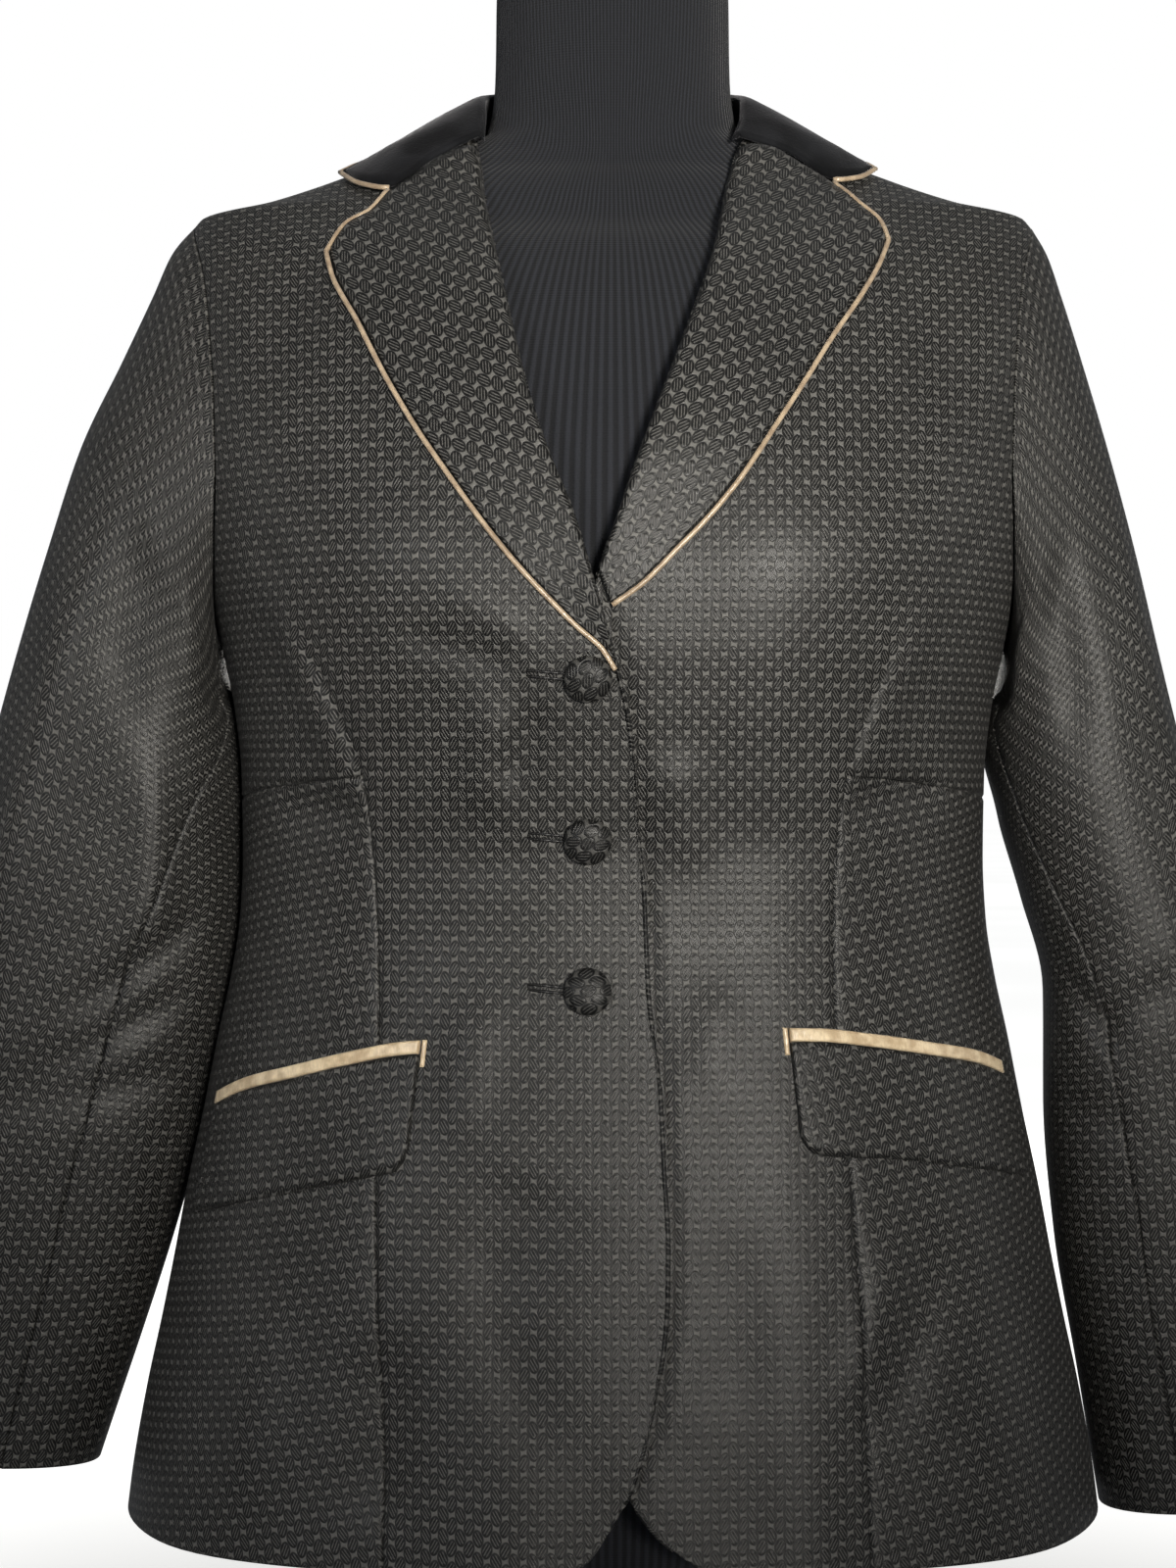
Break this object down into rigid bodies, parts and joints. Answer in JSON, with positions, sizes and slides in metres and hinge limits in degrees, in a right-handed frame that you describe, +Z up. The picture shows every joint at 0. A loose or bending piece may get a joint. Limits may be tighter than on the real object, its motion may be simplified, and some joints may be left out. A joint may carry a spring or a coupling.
{
  "type": "hunt coat on a dress form",
  "caption": "Tailored jacquard hunt coat with piped notch lapels, velvet collar and flap pockets, buttoned on a plain black limbless dress form with a round base.",
  "frame": {"origin": "centre of the underside of the round base", "axes": "+Z up, the coat's front towards -Y, +X to the right of a viewer who faces the front"},
  "size_m": [0.7108, 0.3087, 0.892],
  "materials": {
    "jacquard_cloth": "charcoal jacquard with a small oval figure and a soft sheen",
    "velvet": "black velvet",
    "champagne_satin": "champagne satin",
    "covered_button_cloth": "the coat's own cloth over a domed button",
    "black_jersey": "black fine knit cover",
    "pole_metal": "satin black",
    "base_paint": "satin black"
  },
  "bodies": {
    "root": {"back_left": "jacquard_cloth", "back_right": "jacquard_cloth", "base_plate": "base_paint", "button_1": "covered_button_cloth", "button_2": "covered_button_cloth", "button_3": "covered_button_cloth", "collar": "velvet", "dress_form": "black_jersey", "flap_left": "jacquard_cloth", "flap_right": "jacquard_cloth", "front_left": "jacquard_cloth", "front_right": "jacquard_cloth", "lapel_left": "jacquard_cloth", "lapel_right": "jacquard_cloth", "piping_collar": "champagne_satin", "piping_lapel_left": "champagne_satin", "piping_lapel_right": "champagne_satin", "pole": "pole_metal", "side_front_left": "jacquard_cloth", "side_front_right": "jacquard_cloth", "top_sleeve_left": "jacquard_cloth", "top_sleeve_right": "jacquard_cloth", "under_sleeve_left": "jacquard_cloth", "under_sleeve_right": "jacquard_cloth", "welt_left": "champagne_satin", "welt_right": "champagne_satin"}
  },
  "joints": []
}
